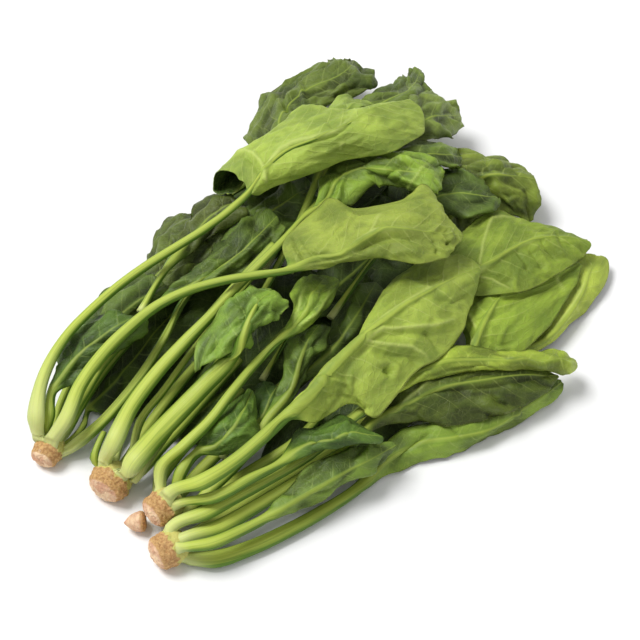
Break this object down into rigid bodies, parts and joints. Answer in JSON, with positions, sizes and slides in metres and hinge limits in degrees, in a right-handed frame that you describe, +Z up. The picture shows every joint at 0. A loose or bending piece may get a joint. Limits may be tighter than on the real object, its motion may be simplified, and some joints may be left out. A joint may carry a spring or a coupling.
{
  "type": "spinach bunch",
  "caption": "Cut bunch of whole spinach plants lying on its side, with pinkish root crowns, long pale stalks and wilted, folded green leaves.",
  "frame": {"origin": "centre of the bounding box, at the surface the bunch lies on", "axes": "+X from the root crowns towards the leaf tips, +Z up, +Y across the bunch towards the long arched leaf on top"},
  "size_m": [0.3088, 0.2508, 0.0699],
  "materials": {
    "leaf_green": "fresh spinach blade, mid green, softly satin, with paler veins",
    "leaf_pale": "matte pale yellow-green underside of a blade, with raised veins",
    "leaf_dark": "dark olive green upper side of a blade, softly satin",
    "stalk": "smooth moist yellow-green stalk with fine lengthwise ribs",
    "crown": "rough matte pinkish tan root crown with brown scars"
  },
  "bodies": {
    "root": {"crown_a": "crown", "crown_b": "crown", "crown_c": "crown", "crown_d": "crown", "leaf_a1": "leaf_pale", "leaf_a2": "leaf_pale", "leaf_a3": "leaf_dark", "leaf_a4": "leaf_green", "leaf_a5": "leaf_dark", "leaf_a6": "leaf_green", "leaf_a7": "leaf_dark", "leaf_a8": "leaf_dark", "leaf_a9": "leaf_dark", "leaf_b1": "stalk", "leaf_b2": "leaf_green", "leaf_b3": "leaf_green", "leaf_b4": "leaf_green", "leaf_b5": "leaf_pale", "leaf_b7": "leaf_dark", "leaf_b8": "leaf_green", "leaf_c1": "leaf_green", "leaf_c2": "leaf_green", "leaf_c3": "leaf_pale", "leaf_c4": "leaf_green", "leaf_c5": "leaf_green", "leaf_c6": "leaf_green", "leaf_c7": "leaf_dark", "leaf_c8": "leaf_dark", "leaf_c9": "leaf_dark", "leaf_d1": "leaf_green", "leaf_d2": "leaf_dark", "leaf_d3": "leaf_green", "leaf_d4": "leaf_pale", "leaf_r1": "leaf_green", "leaf_r2": "leaf_green", "leaf_r3": "leaf_pale", "leaf_u1": "leaf_dark", "leaf_u2": "leaf_dark", "leaf_u3": "leaf_dark", "leaf_u4": "leaf_dark", "leaf_u5": "leaf_dark", "root_stub": "crown", "stalk_a1": "stalk", "stalk_a2": "stalk", "stalk_b1": "stalk", "stalk_b2": "stalk", "stalk_b3": "stalk", "stalk_b6": "stalk", "stalk_c1": "stalk", "stalk_c2": "stalk", "stalk_c3": "stalk", "stalk_d1": "stalk"}
  },
  "joints": []
}
